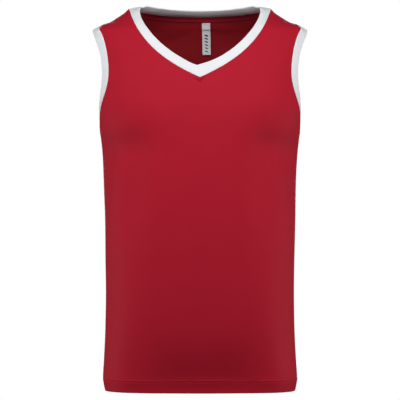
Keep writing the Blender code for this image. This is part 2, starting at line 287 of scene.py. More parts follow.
def back_neck_curve(shoulder, low, power, ear=0.0):
    """A back neck edge, from the centre back to the shoulder; it stands up by the ear just behind it."""
    share = np.sin(np.linspace(0, RIGHT_ANGLE, CURVE_SAMPLES))
    drop = np.clip((share - BACK_NECK_EAR_START) / (1 - BACK_NECK_EAR_START), 0, 1)
    height = low + (shoulder[1] + ear - low) * share**power - ear * drop * drop * (3 - 2 * drop)
    curve = by_width(BACK, shoulder[0] * share, height)
    curve[-1] = (shoulder[0], 0.0, shoulder[1])
    return curve


def neck_curve(side, edge):
    """A dense neck edge on one side of the jersey, from its centre line up to the shoulder."""
    if side == FRONT:
        return front_neck_curve(FRONT_NECK_SEAM if edge == "seam" else FRONT_NECK_FREE)
    if edge == "seam":
        return back_neck_curve(FRONT_NECK_SEAM[0], BACK_NECK_SEAM_LOW, BACK_NECK_SEAM_POWER)
    shoulder = FRONT_NECK_FREE[0]
    return back_neck_curve(shoulder, BACK_NECK_FREE_LOW, BACK_NECK_FREE_POWER, BACK_NECK_EAR)


def armhole_curve(side, edge):
    """Half an armhole edge on the form, dense, from the underarm up to the shoulder."""
    top, bottom = ARMHOLES[edge]
    scoop, lean, top_round, bottom_round = ARMHOLE_SCOOPS[edge, side]
    share = (1 + np.cos(np.linspace(0, math.pi, CURVE_SAMPLES))) / 2
    height = top + (bottom - top) * share
    roundness = top_round + (bottom_round - top_round) * share
    out = scoop * np.clip(np.sin(math.pi * share**lean), 0, 1) ** roundness
    return by_depth(side, out, height)


# ---- relief of the cloth

CREASE_RADIUS = 0.165
FRONT_CREASES = (
    # angle, height, length, width, tilt, rise; angles in degrees from the centre line, tilt from level
    (-53.0, -0.184, 0.190, 0.042, 4.0, 0.0046),
    (52.0, -0.183, 0.185, 0.042, 176.0, 0.0046),
    (-57.0, -0.252, 0.160, 0.032, 8.0, -0.0082),
    (56.0, -0.250, 0.155, 0.032, 172.0, -0.0082),
    (-57.0, -0.320, 0.160, 0.060, 4.0, -0.0045),
    (56.0, -0.317, 0.155, 0.060, 176.0, -0.0045),
    (-41.0, -0.330, 0.190, 0.036, 84.0, -0.0046),
    (40.0, -0.325, 0.185, 0.036, 95.0, -0.0048),
    (-1.0, -0.270, 0.190, 0.030, 90.0, 0.0008),
    (-72.0, -0.300, 0.160, 0.016, 74.0, -0.0016),
    (70.0, -0.315, 0.190, 0.018, 108.0, -0.0015),
    (-62.0, -0.620, 0.230, 0.026, 92.0, -0.0014),
    (60.0, -0.600, 0.260, 0.028, 86.0, -0.0015),
    (0.0, -0.716, 0.240, 0.074, 0.0, -0.0100),
    (1.0, -0.704, 0.130, 0.060, 0.0, -0.0085),
    (-24.0, -0.640, 0.200, 0.030, 88.0, 0.0008),
    (18.0, -0.630, 0.180, 0.028, 95.0, 0.0007),
    (-78.0, -0.480, 0.200, 0.018, 80.0, 0.0012),
    (76.0, -0.500, 0.180, 0.020, 99.0, 0.0012),
    (-38.0, -0.060, 0.090, 0.012, 128.0, -0.0007),
    (40.0, -0.066, 0.080, 0.012, 54.0, -0.0007),
)
BACK_CREASES = (
    # angle, height, length, width, tilt, rise
    (2.0, -0.042, 0.210, 0.0280, 0.0, 0.0048),
    (11.0, -0.026, 0.060, 0.0080, 163.0, 0.0013),
    (15.0, -0.044, 0.075, 0.0100, 152.0, 0.0012),
    (-10.0, -0.034, 0.060, 0.0085, 36.0, 0.0013),
    (-24.0, -0.046, 0.070, 0.0100, 22.0, 0.0010),
    (-58.0, -0.210, 0.100, 0.020, 24.0, -0.0024),
    (56.0, -0.214, 0.095, 0.020, 155.0, -0.0022),
    (-20.0, -0.070, 0.120, 0.020, 8.0, -0.0010),
    (24.0, -0.078, 0.110, 0.020, 172.0, -0.0010),
    (-6.0, -0.395, 0.210, 0.018, 4.0, -0.0016),
    (10.0, -0.440, 0.230, 0.020, 176.0, -0.0018),
    (-30.0, -0.425, 0.110, 0.014, 12.0, 0.0013),
    (44.0, -0.400, 0.120, 0.014, 168.0, 0.0012),
    (-52.0, -0.600, 0.250, 0.028, 88.0, -0.0018),
    (50.0, -0.590, 0.270, 0.026, 93.0, -0.0017),
    (-14.0, -0.640, 0.210, 0.032, 91.0, 0.0014),
    (20.0, -0.650, 0.180, 0.026, 87.0, -0.0010),
    (-75.0, -0.330, 0.220, 0.018, 78.0, -0.0014),
    (73.0, -0.350, 0.200, 0.018, 103.0, -0.0015),
)
CREASES = {FRONT: FRONT_CREASES, BACK: BACK_CREASES}


def crease(across, up, length, width, tilt, rise, bluntness):
    """A soft trough or ridge, from distances to its middle; a blunter one keeps its depth to its ends."""
    c, s = math.cos(math.radians(tilt)), math.sin(math.radians(tilt))
    along = across * c + up * s
    over = up * c - across * s
    return rise * np.exp(-((over / width) ** 2) - (2 * along / length) ** bluntness)


def crease_relief(side, points):
    """Rise of the cloth over its form from the listed creases."""
    angle = np.copysign(angle_of(side, points), points[..., 0])
    relief = np.zeros(points.shape[:-1])
    for at_angle, height, *shape in CREASES[side]:
        across = (angle - math.radians(at_angle)) * CREASE_RADIUS
        relief += crease(across, points[..., 2] - height, *shape, 4)
    return relief


def slack_relief(points):
    """Slight unevenness of hanging cloth, over hand spans."""
    x, y, z = points[..., 0], points[..., 1], points[..., 2]
    waves = (
        # x_rate, y_rate, z_rate, phase, rise
        (31.0, 12.0, 23.0, 0.4, 0.00022),
        (-27.0, 19.0, 37.0, 1.9, 0.00018),
        (55.0, -21.0, 17.0, 3.1, 0.00012),
        (14.0, 47.0, -52.0, 5.0, 0.00012),
    )
    return sum(rise * np.sin(a * x + b * y + c * z + p) for a, b, c, p, rise in waves)


def distance_to(points, curve):
    """Distance from each point to a dense curve, and how far along the curve its nearest point is."""
    lengths = lengths_along(curve)
    found = []
    for part in np.array_split(points.reshape(-1, 3), points.size // 12000 + 1):
        gaps = np.linalg.norm(part[:, None, :] - curve[None, :, :], axis=2)
        found.append(np.stack([gaps.min(1), lengths[gaps.argmin(1)]]))
    return np.concatenate(found, 1).reshape(2, *points.shape[:-1])


SEAM_ROLL = 0.00042
SEAM_ROLL_WIDTH = 0.0013
SEAM_PAD = 0.00028
SEAM_PAD_AT = 0.0046
SEAM_PAD_WIDTH = 0.0026
PUCKER_RISE = 0.00016
PUCKER_LENGTH = 0.0105
PUCKER_REACH = 0.010


def seam_relief(distance, place):
    """Cloth turned in at a seam, padded by its allowance, with slight puckers along it."""
    roll = -SEAM_ROLL * hill(distance, SEAM_ROLL_WIDTH)
    pad = SEAM_PAD * hill(distance - SEAM_PAD_AT, SEAM_PAD_WIDTH)
    waves = np.sin(2 * math.pi * place / PUCKER_LENGTH + 1.7 * np.sin(place * 61.0))
    fade = np.exp(-distance / PUCKER_REACH) * (0.6 + 0.4 * np.sin(place * 23.0))
    return roll + pad + PUCKER_RISE * waves * fade


HEM_SEAM_HEIGHTS = (0.0208, 0.0256)
HEM_RELIEF = (
    # rise over the hem, width, height: rows of stitches, the tuck between them, the soft ridge
    (0.0208, 0.0011, -0.00035),
    (0.0256, 0.0010, -0.00028),
    (0.0232, 0.0019, 0.00045),
    (0.0200, 0.0085, 0.00110),
)


def hem_relief(rise, angle):
    """The turned-up hem, at a rise over its fold; the side seams hold it flat."""
    relief = sum(height * hill(rise - at, width) for at, width, height in HEM_RELIEF)
    uneven = 1 + 0.25 * np.sin(9 * angle + 1.0) + 0.15 * np.sin(23 * angle)
    return relief * uneven * np.clip(np.cos(angle) * 6, 0.15, 1)


V_PUCKERS = (
    # across, height over the point of the V, length, width, tilt, rise
    (-0.0036, -0.0066, 0.012, 0.0019, -28.0, -0.0026),
    (0.0036, -0.0058, 0.015, 0.0020, 34.0, -0.0030),
    (-0.0002, -0.0100, 0.007, 0.0026, 0.0, -0.0016),
    (-0.0004, -0.0200, 0.024, 0.0050, 90.0, 0.0005),
)


def v_relief(points):
    """The small pinch of cloth just under the point of the V."""
    x = points[..., 0]
    up = points[..., 2] - FRONT_NECK_SEAM[-1][1]
    return sum(crease(x - across, up - drop, *shape, 2) for across, drop, *shape in V_PUCKERS)


def body_relief(side, points):
    """Relief of a panel away from its cut edges."""
    relief = crease_relief(side, points) + slack_relief(points)
    relief += hem_relief(points[..., 2] - HEM_HEIGHT, np.copysign(angle_of(side, points), points[..., 0]))
    if side == FRONT:
        relief += v_relief(points)
    return relief


# ---- meshes


def add_thing(name, data):
    """An object for a mesh, camera or light, in the scene."""
    thing = bpy.data.objects.new(name, data)
    bpy.context.scene.collection.objects.link(thing)
    return thing


def make_object(name, points, faces, materials, uv, face_slots=None):
    """An object from points, faces, one material slot number for each face and one UV for each corner."""
    points = np.asarray(points, float).reshape(-1, 3)
    used = sorted({i for face in faces for i in face})
    renumber = {old: new for new, old in enumerate(used)}
    mesh = bpy.data.meshes.new(name)
    mesh.from_pydata(points[used].tolist(), [], [[renumber[i] for i in face] for face in faces])
    if face_slots is not None:
        mesh.polygons.foreach_set("material_index", np.asarray(face_slots, np.int32))
    layer = mesh.uv_layers.new(name="cloth")
    layer.uv.foreach_set("vector", np.asarray(uv, np.float32).ravel())
    work = bmesh.new()
    work.from_mesh(mesh)
    bmesh.ops.recalc_face_normals(work, faces=work.faces)
    work.to_mesh(mesh)
    work.free()
    for material in materials:
        mesh.materials.append(material)
    mesh.shade_smooth()
    return add_thing(name, mesh)


def grid_faces(ids, uv):
    """Faces between the rows and columns of a grid of points, and the UVs of their corners."""
    here, ahead = slice(None, -1), slice(1, None)
    corners = ((here, here), (here, ahead), (ahead, ahead), (ahead, here))
    faces = np.stack([ids[corner] for corner in corners], -1).reshape(-1, 4)
    face_uv = np.stack([uv[corner] for corner in corners], 2).reshape(-1, 2)
    return faces.tolist(), face_uv.tolist()


def shell_faces(layers, uv, rim):
    """Faces of the two layers of a sheet, then of the rim between them, and the UVs of their corners."""
    faces = []
    corner_uv = []
    for layer in layers:
        quads, quad_uv = grid_faces(layer, uv)
        faces += quads
        corner_uv += quad_uv
    for a, b in rim:
        faces.append([int(i) for i in (layers[0][a], layers[0][b], layers[1][b], layers[1][a])])
        corner_uv += [uv[a], uv[b], uv[b], uv[a]]
    return faces, corner_uv


def panel_rows(side):
    """Angles and heights of the two ends of each row of half a panel, and the row level with the neck."""
    underarm = ARMHOLES["seam"][1]
    split = SPLIT_STEPS[side]
    fold = HEM_WALL / 2 * (1 - np.cos(np.radians(np.linspace(20, 90, HEM_ROUND_ROWS + 1))))
    hem = np.linspace(HEM_WALL / 2, HEM_ROWS_HEIGHT, HEM_ROWS + 1)
    body = np.linspace(HEM_HEIGHT + HEM_ROWS_HEIGHT, underarm, BODY_ROWS + 1)
    levels = np.concatenate([HEM_HEIGHT + fold[:-1], HEM_HEIGHT + hem[:-1], body[:-1]])
    neck = evenly(neck_curve(side, "seam"), ARMHOLE_STEPS - split)
    armhole = evenly(armhole_curve(side, "seam"), ARMHOLE_STEPS)
    neck_angles = angle_of(side, neck)
    neck_angles[0] = 0.0
    rise = np.sin(RIGHT_ANGLE * np.arange(split) / split)
    centre = underarm + (neck[0, 2] - underarm) * rise
    ends = (
        np.concatenate([np.zeros(len(levels) + split), neck_angles]),
        np.concatenate([levels, centre, neck[:, 2]]),
        np.concatenate([RIGHT_ANGLE + 0 * levels, angle_of(side, armhole)]),
        np.concatenate([levels, armhole[:, 2]]),
    )
    return ends, len(levels) + split


def panel_inset(rise):
    """Depth of a panel's outer and inner face below the form at a rise over the hem's fold."""
    radius = HEM_WALL / 2
    lift = np.clip(1 - rise / radius, 0, 1)
    curl = radius * (1 - np.sqrt(np.clip(1 - lift**2, 0, 1)))
    single = 1 / (1 + np.exp((HEM_TURN_UP - rise) / HEM_EDGE_SOFTNESS))
    wall = HEM_WALL + (PANEL_WALL - HEM_WALL) * single
    return curl, wall - curl


def seam_curves(side):
    """The seams round a panel, on both sides of the centre line, as rows of close points."""
    side_heights = np.linspace(HEM_HEIGHT, ARMHOLES["seam"][1], 900)
    shoulder_heights = np.linspace(ARMHOLES["seam"][0], FRONT_NECK_SEAM[0][1], 120)
    halves = [
        neck_curve(side, "seam")[::5],
        armhole_curve(side, "seam")[::5],
        side_line(side, side_heights),
        side_line(side, shoulder_heights),
    ]
    return halves + [curve * (-1, 1, 1) for curve in halves]


def make_panel(name, side, materials):
    """Front or back panel: two mirrored halves of the form, joined up to the neck, then given relief."""
    (angle_in, height_in, angle_out, height_out), split_row = panel_rows(side)
    share = np.linspace(0, 1, HALF_COLUMNS + 1)[None, :] ** 1.25
    angle = angle_in[:, None] + (angle_out - angle_in)[:, None] * share
    height = height_in[:, None] + (height_out - height_in)[:, None] * share
    half = by_angle(side, angle, height)
    half[: split_row + 1, 0, 0] = 0.0
    points = np.stack([half, half * (-1, 1, 1)])
    normals = outward(side, points)
    relief = body_relief(side, points)
    for curve in seam_curves(side):
        relief += seam_relief(*distance_to(points, curve))
    outer_inset, inner_inset = panel_inset(points[..., 2] - HEM_HEIGHT)
    points = points + (0, side * SEAM_GAP / 2, 0)
    outer = points + normals * (relief - outer_inset)[..., None]
    inner = points + normals * (relief - inner_inset)[..., None]

    rows, columns = half.shape[:2]
    count = rows * columns
    ids = np.arange(2 * count).reshape(2, rows, columns)
    ids[1, : split_row + 1, 0] = ids[0, : split_row + 1, 0]
    around = grid_lengths(half, 1) + half[:, :1, 0]
    upward = grid_lengths(half, 0)
    rim = [((row, c), (row, c + 1)) for row in (0, rows - 1) for c in range(columns - 1)]
    rim += [((r, columns - 1), (r + 1, columns - 1)) for r in range(rows - 1)]
    rim += [((r, 0), (r + 1, 0)) for r in range(split_row, rows - 1)]
    quads = (rows - 1) * (columns - 1)
    faces = []
    uv = []
    for hand_ids, hand in zip(ids, (LEFT, RIGHT)):
        flat = np.stack([hand * around, upward], -1)
        hand_faces, hand_uv = shell_faces((hand_ids, hand_ids + 2 * count), flat, rim)
        faces += hand_faces
        uv += hand_uv
    slots = 2 * ([0] * quads + [1] * quads + [0] * len(rim))
    both = np.concatenate([outer.reshape(-1, 3), inner.reshape(-1, 3)])
    return make_object(name, both, faces, materials, uv, slots)


# ---- bands

BAND_THICKNESS = 0.0021
BAND_CROWN = 0.00035
BAND_ROLL = 0.00032
BAND_ROLL_WIDTH = 0.0011
BAND_FLAT_POINTS = 14
BAND_ROUND_POINTS = 7
BAND_BEND = 0.004  # how far from its seam a band still lies as the panel does
BAND_WAVES = (
    # rise, rate along the band, how many times the seed shifts it
    (0.00016, 190.0, 1),
    (0.00012, 83.0, 2),
)
MITRE_SHIFT = -0.0052
MITRE_REACH = 0.026
MITRE_SINK = 0.0003
MITRE_SINK_WIDTH = 0.0007
MITRE_STEP = 0.0002
MITRE_STEP_REACH = 0.012
NECK_FRONT_SHARES = (0.0, 0.0020, 0.0044, 0.0080, 0.0128, 0.0192)  # closer rows next to the mitre
NECK_FRONT_REST = (0.027, 1, 140)  # first and last of the other shares, and their count
NECK_BACK_STEPS = 110
ARMHOLE_BAND_STEPS = 120
SHOULDER_FADE = 0.01
BACK_BOW = 0.0024
BACK_BOW_FADE = 0.090


def band_rings(side, seams, frees, first_way, lift, bow=0.0):
    """Cross-sections along half a band; lift raises each one off the form, bow rounds it inwards."""
    along = np.gradient(seams, axis=0)
    along[0] = first_way
    along[-1] = (0.0, 1.0, 0.0)
    panel_normal = outward(side, seams)
    gap_way = unit(np.cross(panel_normal, along))
    gap_way *= np.sign(np.sum(gap_way * (frees - seams), -1, keepdims=True))
    middle = panel_normal * (PANEL_WALL / 2)
    start = seams + gap_way * SEAM_GAP - middle
    span = frees - middle - start
    width = np.linalg.norm(span, axis=1, keepdims=True)
    leaning = np.sum(panel_normal * span, -1, keepdims=True) / width**2
    band_normal = unit(panel_normal - span * leaning)
    radius = BAND_THICKNESS / 2
    flat = np.linspace(0, 1, BAND_FLAT_POINTS) ** 1.5
    rings = []
    for face in (1, -1):
        for share in flat if face == 1 else flat[::-1]:
            out = share * (width - radius)
            blend = np.minimum(out / BAND_BEND, 1.0)
            normal = unit(panel_normal * (1 - blend) + band_normal * blend)
            roll = BAND_ROLL * hill(out, BAND_ROLL_WIDTH)
            crown = BAND_CROWN * np.sin(math.pi * out / width) if face == 1 else 0.0
            rise = face * (radius - roll + crown) - bow * np.sin(math.pi * out / width)
            rings.append(start + span * (out / width) + normal * (rise + lift[:, None]))
        if face == 1:
            for turn in np.linspace(RIGHT_ANGLE, -RIGHT_ANGLE, BAND_ROUND_POINTS + 2)[1:-1]:
                out = width - radius + radius * math.cos(turn)
                rise = radius * math.sin(turn) - bow * np.sin(math.pi * out / width)
                rings.append(start + span * (out / width) + band_normal * (rise + lift[:, None]))
    return np.stack(rings, 1)


def make_band(name, rings, materials):
    """Closed band through its cross-sections, the last joined to the first."""
    count, size = rings.shape[:2]
    ids = np.arange(count * size).reshape(count, size)
    middles = rings.mean(1)
    places = lengths_along(np.concatenate([middles, middles[:1]]))
    around = lengths_along(np.concatenate([rings[0], rings[0][:1]]))
    flat = np.stack(np.meshgrid(places, around, indexing="ij"), -1)
    faces, uv = grid_faces(np.pad(ids, (0, 1), mode="wrap"), flat)
    return make_object(name, rings, faces, materials, uv)


def band_lift(places, seed):
    """Slight unevenness along a sewn band."""
    return sum(rise * np.sin(places * rate + times * seed) for rise, rate, times in BAND_WAVES)


def make_neck_band(materials):
    """Neck band, lapped and mitred at the point of the V."""
    halves = []
    for hand in (LEFT, RIGHT):
        seam_front = neck_curve(FRONT, "seam")
        free_front = neck_curve(FRONT, "free")
        shares = np.concatenate([NECK_FRONT_SHARES, np.linspace(*NECK_FRONT_REST)])
        seam = at_lengths(seam_front, seam_front, shares * lengths_along(seam_front)[-1])
        free = at_lengths(free_front, free_front, shares * lengths_along(free_front)[-1])
        places = lengths_along(seam)
        shift = hand * MITRE_SHIFT * hill(lengths_along(free), MITRE_REACH)
        free = by_width(FRONT, free[:, 0] + shift, free[:, 2])
        free[-1] = free_front[-1]
        lap = np.exp(-places / MITRE_STEP_REACH)
        sink = -MITRE_SINK * hill(places, MITRE_SINK_WIDTH)
        lift = sink + hand * MITRE_STEP * lap * (places > 0) + band_lift(places, 0.6 + hand)
        lift *= 1 - hill(places - places[-1], SHOULDER_FADE)
        lift[0] = -MITRE_SINK
        front = band_rings(FRONT, seam, free, (1.0, 0.0, 0.0), lift)
        seam = evenly(neck_curve(BACK, "seam"), NECK_BACK_STEPS)
        free = evenly(neck_curve(BACK, "free"), NECK_BACK_STEPS)
        places = lengths_along(seam)
        lift = band_lift(places, 2.2) * np.sin(math.pi * places / places[-1])
        bow = BACK_BOW * np.clip((places[-1] - places) / BACK_BOW_FADE, 0, 1)[:, None] ** 0.5
        back = band_rings(BACK, seam, free, (1.0, 0.0, 0.0), lift, bow)
        halves.append(np.concatenate([front, back[-2::-1]]) * (hand, 1, 1))
    left, right = halves
    return make_band("neck_band_cloth", np.concatenate([left, right[-2:0:-1]]), materials)


def make_armhole_band(name, hand, materials):
    """Armhole band: up the front from the underarm, over the shoulder and down the back."""
    halves = []
    for side in (FRONT, BACK):
        seam = evenly(armhole_curve(side, "seam"), ARMHOLE_BAND_STEPS)
        free = evenly(armhole_curve(side, "free"), ARMHOLE_BAND_STEPS)
        places = lengths_along(seam)
        lift = band_lift(places, 1.1 * hand + side) * np.sin(math.pi * places / places[-1])
        halves.append(band_rings(side, seam, free, (0.0, 1.0, 0.0), lift))
    front, back = halves
    rings = np.concatenate([front, back[-2:0:-1]]) * (hand, 1, 1)
    return make_band(name, rings, materials)


# ---- tape, labels and inside strips


def make_strip(name, rows, thickness, materials, inward=BACK):
    """Closed thin strip through rows of points, thickened towards the inside of the jersey."""
    rows = np.asarray(rows)
    down = np.gradient(rows, axis=0)
    across = np.gradient(rows, axis=1)
    normals = unit(np.cross(across, down))
    normals *= -np.sign(np.sum(normals * outward(inward, rows), -1, keepdims=True))
    count, size = rows.shape[:2]
    layers = np.stack([rows, rows + normals * thickness])
    ids = np.arange(2 * count * size).reshape(2, count, size)
    flat_uv = np.stack([grid_lengths(rows, 1), grid_lengths(rows, 0)], -1)
    edge = [(0, c) for c in range(size)] + [(r, size - 1) for r in range(1, count)]
    edge += [(count - 1, c) for c in range(size - 2, -1, -1)] + [(r, 0) for r in range(count - 2, 0, -1)]
    faces, uv = shell_faces(ids, flat_uv, zip(edge, edge[1:] + edge[:1]))
    return make_object(name, layers, faces, materials, uv)


TAPE_WIDTH = 0.0096
TAPE_REACH = 0.120
TAPE_OVER = 0.0004  # how far its upper edge stands over the seam
TAPE_SEAM_SINK = (0.0003, 0.0016, 0.0006)  # depth of its rows of stitches, distance in, width
TAPE_GAP = 0.0004
TAPE_WALL = 0.0007
TAPE_COLUMNS = 160
TAPE_ROWS = 9


def back_inside(across, height, inset):
    """Points inside the back panel, at a depth below its inner face."""
    points = by_width(BACK, across, height)
    relief = body_relief(BACK, points)
    return points + outward(BACK, points) * (relief - PANEL_WALL - inset)[..., None]


def back_neck_height(across):
    """Height of the back neck seam at a distance from the centre line."""
    shoulder_across, shoulder_height = FRONT_NECK_SEAM[0]
    share = np.abs(across) / shoulder_across
    return BACK_NECK_SEAM_LOW + (shoulder_height - BACK_NECK_SEAM_LOW) * share**BACK_NECK_SEAM_POWER


def make_neck_tape(materials):
    """Tape over the back neck seam, inside."""
    across = np.linspace(-TAPE_REACH, TAPE_REACH, TAPE_COLUMNS + 1)[None, :]
    low = TAPE_WIDTH - TAPE_OVER
    drop = np.linspace(-TAPE_OVER, low, TAPE_ROWS + 1)[:, None]
    height = back_neck_height(across) - drop
    edge = np.minimum(drop + TAPE_OVER, low - drop)
    depth, inwards, width = TAPE_SEAM_SINK
    sink = depth * hill(edge - inwards, width)
    rows = back_inside(across + 0 * drop, height, TAPE_GAP - sink)
    return make_strip("neck_tape_cloth", rows, TAPE_WALL, materials)


LABEL_CENTRE = 0.0118
LABEL_TOP = -0.0034
MAIN_LABEL_SIZE = (0.0160, 0.0608)
SIZE_LABEL_SIZE = (0.0160, 0.0128)
LABEL_WALL = 0.00045
LABEL_COLUMNS = 20
MAIN_LABEL_STEPS = 70
SIZE_LABEL_STEPS = 18
LABEL_BOW = 0.0007
MAIN_LABEL_HANG = (0.0016, 0.0012, 0.0034)  # inset at the top, slant, how far the lower end stands off
SIZE_LABEL_HANG = (0.0024, 0.0002, 0.0010)


def label_place(size, hang, across, share, raise_by=0.0):
    """Points on a label inside the back, at distances across it and shares of its length."""
    width, height = size
    inset, slant, stand_off = hang
    bow = LABEL_BOW * (1 - (2 * across / width) ** 2) * share
    level = LABEL_TOP - height * share + 0 * across
    inset = inset + stand_off * share**1.6 + bow + raise_by
    return back_inside(LABEL_CENTRE + slant * share + across, level, inset)


def make_label(name, size, hang, steps, materials):
    """A label hanging from the tape."""
    across = np.linspace(-size[0] / 2, size[0] / 2, LABEL_COLUMNS + 1)[None, :]
    share = np.linspace(0, 1, steps + 1)[:, None]
    return make_strip(name, label_place(size, hang, across, share), LABEL_WALL, materials)


MOTIF_BARS = 6
MOTIF_SPAN = (0.0245, 0.0545)  # drops of the first and last bar under the label's top
MOTIF_HALF_WIDTH = 0.0034
MOTIF_SLANT = 0.0013
MOTIF_BAR = (0.0015, 0.00016)  # half width and half height of a bar
MOTIF_RAISE = 0.00002


def make_motif(materials):
    """Plain woven motif of slanted bars down the main label."""
    across = MOTIF_HALF_WIDTH * np.linspace(-1, 1, 7)
    slant = MOTIF_SLANT * np.linspace(-1, 1, 7)
    paths = []
    for drop in np.linspace(*MOTIF_SPAN, MOTIF_BARS):
        share = (drop + slant) / MAIN_LABEL_SIZE[1]
        face = LABEL_WALL + MOTIF_RAISE
        paths.append(label_place(MAIN_LABEL_SIZE, MAIN_LABEL_HANG, across, share, face))
    return make_threads("label_motif", paths, MOTIF_BAR, materials)


# ---- threads and inside seams

THREAD_SIDES = 6


def make_threads(name, paths, size, materials):
    """Short stitches, one flattened tube on each path, as one piece; they lie on the cloth below."""
    half_width, half_height = size
    points = []
    faces = []
    uv = []
    start = 0
    turns = np.arange(THREAD_SIDES) * 2 * math.pi / THREAD_SIDES
    across = half_width * np.arange(THREAD_SIDES + 1)
    for path in paths:
        along = unit(np.gradient(path, axis=0))
        side = unit(np.cross(along, outward(BACK if path[:, 1].mean() > 0 else FRONT, path)))
        up = np.cross(side, along)
        count = len(path)
        taper = np.sqrt(np.clip(1 - np.abs(np.linspace(-1, 1, count)) ** 3, 0.08, 1))[:, None, None]
        ring = half_width * np.cos(turns)[None, :, None] * side[:, None, :]
        ring = ring + half_height * np.sin(turns)[None, :, None] * up[:, None, :]
        points.append((path[:, None, :] + ring * taper).reshape(-1, 3))
        ids = start + np.arange(count * THREAD_SIDES).reshape(count, THREAD_SIDES)
        flat = np.stack(np.meshgrid(lengths_along(path), across, indexing="ij")[::-1], -1)
        quads, quad_uv = grid_faces(np.pad(ids, ((0, 0), (0, 1)), mode="wrap"), flat)
        faces += quads
        uv += quad_uv
        for end in (0, -1):
            faces.append(ids[end].tolist())
            uv += flat[end, :-1].tolist()
        start += count * THREAD_SIDES
    return make_object(name, np.concatenate(points), faces, materials, uv)


STITCHES = {
    # row: pitch, length, rise of its arch
    "hem": (0.0030, 0.0025, 0.00016),
    "tape": (0.0030, 0.0024, 0.00018),
    "label": (0.0026, 0.0021, 0.00016),
}
HEM_STITCH_END = 0.003  # angle left clear at the side seams
COVER_END = 0.006
COVER_OVERLAP = 0.0008
TAPE_STITCH_END = 0.002
TAPE_STITCH_DROPS = (0.0012, TAPE_WIDTH - 0.0020)
LABEL_STITCHES = (0.0070, 0.0016, 0.0024)  # reach either way, drop under the top, depth
STITCH_SIZE = (0.00024, 0.00014)  # half width and half height
STITCH_POINTS = 5


def panel_surface(side, angle, height):
    """Points of a panel's outer face, at signed angles from its centre line."""
    points = by_angle(side, np.abs(angle), height)
    points[..., 0] *= np.sign(angle)
    normals = outward(side, points)
    place = points + normals * body_relief(side, points)[..., None]
    return place + (0, side * SEAM_GAP / 2, 0), normals


def dashes(row, line, normals):
    """Stitch paths along a dense line, each arched a little off the cloth."""
    pitch, length, lift = STITCHES[row]
    total = lengths_along(line)[-1]
    starts = np.arange(int(total / pitch)) * pitch + (total % pitch) / 2 + (pitch - length) / 2
    paths = []
    for first in starts:
        wanted = first + np.linspace(0, length, STITCH_POINTS)
        path = at_lengths(line, line, wanted)
        up = unit(at_lengths(line, normals, wanted))
        arch = lift * np.sin(np.linspace(0.15, math.pi - 0.15, STITCH_POINTS))
        paths.append(path + up * arch[:, None])
    return paths


def make_hem_stitches(materials):
    """Twin rows of stitches round the hem, outside."""
    paths = []
    angle = np.linspace(-RIGHT_ANGLE + HEM_STITCH_END, RIGHT_ANGLE - HEM_STITCH_END, CURVE_SAMPLES)
    for side in (FRONT, BACK):
        for rise in HEM_SEAM_HEIGHTS:
            line, normals = panel_surface(side, angle, HEM_HEIGHT + rise + 0 * angle)
            paths += dashes("hem", line, normals)
    return make_threads("hem_stitches", paths, STITCH_SIZE, materials)


def make_cover_threads(materials):
    """Zigzag thread over the raw edge of the turned-up hem, inside."""
    paths = []
    angle = np.linspace(-RIGHT_ANGLE + COVER_END, RIGHT_ANGLE - COVER_END, CURVE_SAMPLES)
    low, high = HEM_SEAM_HEIGHTS[0] - COVER_OVERLAP, HEM_TURN_UP + COVER_OVERLAP
    for side in (FRONT, BACK):
        line, _ = panel_surface(side, angle, HEM_HEIGHT + low + 0 * angle)
        total = lengths_along(line)[-1]
        steps = int(total / (STITCHES["hem"][0] / 2))
        marks = np.interp(np.linspace(0, total, steps + 1), lengths_along(line), angle)
        for i in range(steps):
            t = np.linspace(0, 1, 7)
            turn = marks[i] + (marks[i + 1] - marks[i]) * t
            rise = low + (high - low) * (t if i % 2 else 1 - t)
            points, normals = panel_surface(side, turn, HEM_HEIGHT + rise)
            depth = panel_inset(rise)[1] + STITCH_SIZE[1]
            paths.append(points - normals * depth[:, None])
    return make_threads("hem_cover_threads", paths, STITCH_SIZE, materials)


def make_tape_stitches(materials):
    """Rows of stitches along both edges of the neck tape, and across the tops of the labels."""
    paths = []
    across = np.linspace(TAPE_STITCH_END - TAPE_REACH, TAPE_REACH - TAPE_STITCH_END, CURVE_SAMPLES)
    for drop in TAPE_STITCH_DROPS:
        height = back_neck_height(across) - drop
        line = back_inside(across, height, TAPE_GAP + TAPE_WALL - 0.0001)
        paths += dashes("tape", line, -outward(BACK, line))
    reach, drop, depth = LABEL_STITCHES
    across = np.linspace(-reach, reach, 60)
    line = back_inside(LABEL_CENTRE + across, LABEL_TOP - drop + 0 * across, depth + LABEL_WALL)
    paths += dashes("label", line, -outward(BACK, line))
    return make_threads("tape_stitches", paths, STITCH_SIZE, materials)


ALLOWANCE_WIDTH = 0.0062
ALLOWANCE_WALL = 0.0012
ALLOWANCE_START = 0.0004
ALLOWANCE_GAP = 0.00025
ALLOWANCE_WAVE = 0.00012
ALLOWANCE_WAVE_LENGTH = 0.0042
ALLOWANCE_COLUMNS = 6


def allowance_rows(side, curve, toward, steps):
    """Rows of points of a seam allowance that lies against the inside of a panel."""
    curve = evenly(curve, steps)
    along = np.gradient(curve, axis=0)
    normals = outward(side, curve)
    way = unit(np.cross(normals, along))
    way *= np.sign(np.sum(way * toward, -1, keepdims=True))
    rows = []
    place = np.linspace(0, 1, steps + 1) * lengths_along(curve)[-1]
    wave = ALLOWANCE_WAVE * np.sin(place * 2 * math.pi / ALLOWANCE_WAVE_LENGTH)
    for out in np.linspace(ALLOWANCE_START, ALLOWANCE_WIDTH, ALLOWANCE_COLUMNS + 1):
        points = curve + way * out
        depth = PANEL_WALL + ALLOWANCE_GAP + wave - body_relief(side, points)
        rows.append(points - normals * depth[:, None])
    return np.stack(rows)


